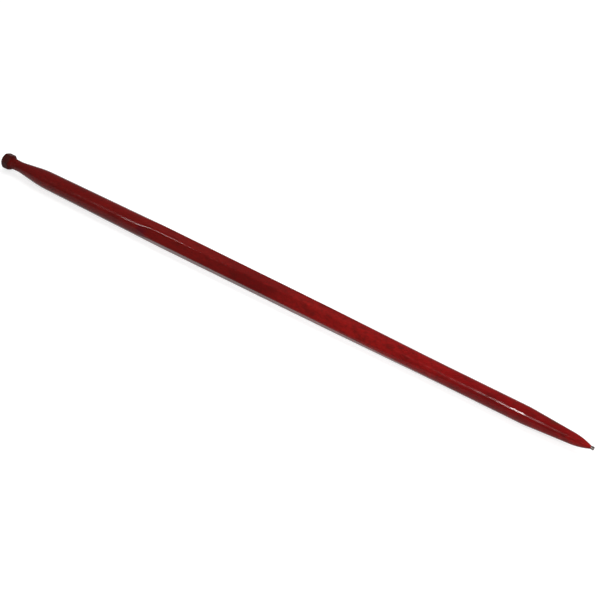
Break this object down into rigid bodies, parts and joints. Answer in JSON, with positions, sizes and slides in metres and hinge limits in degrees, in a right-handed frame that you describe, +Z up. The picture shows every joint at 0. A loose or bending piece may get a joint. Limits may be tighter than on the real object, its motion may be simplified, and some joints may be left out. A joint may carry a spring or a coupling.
{
  "type": "bale spear",
  "caption": "Forged steel bale spear: threaded stud with hexagon nut, tapered seat, long round shank, six-sided body and blunt point.",
  "frame": {"origin": "on the bar's axis, at the wide end of the tapered seat, where the spear stops in its socket", "axes": "+X along the bar to its point, +Z up and square to one of its six flats, +Y to the left of the point"},
  "size_m": [1.245, 0.0376, 0.0354],
  "materials": {
    "red_enamel": "gloss",
    "painted_nut": "satin"
  },
  "bodies": {
    "root": {"tine": "red_enamel", "hex_nut": "painted_nut"}
  },
  "joints": []
}
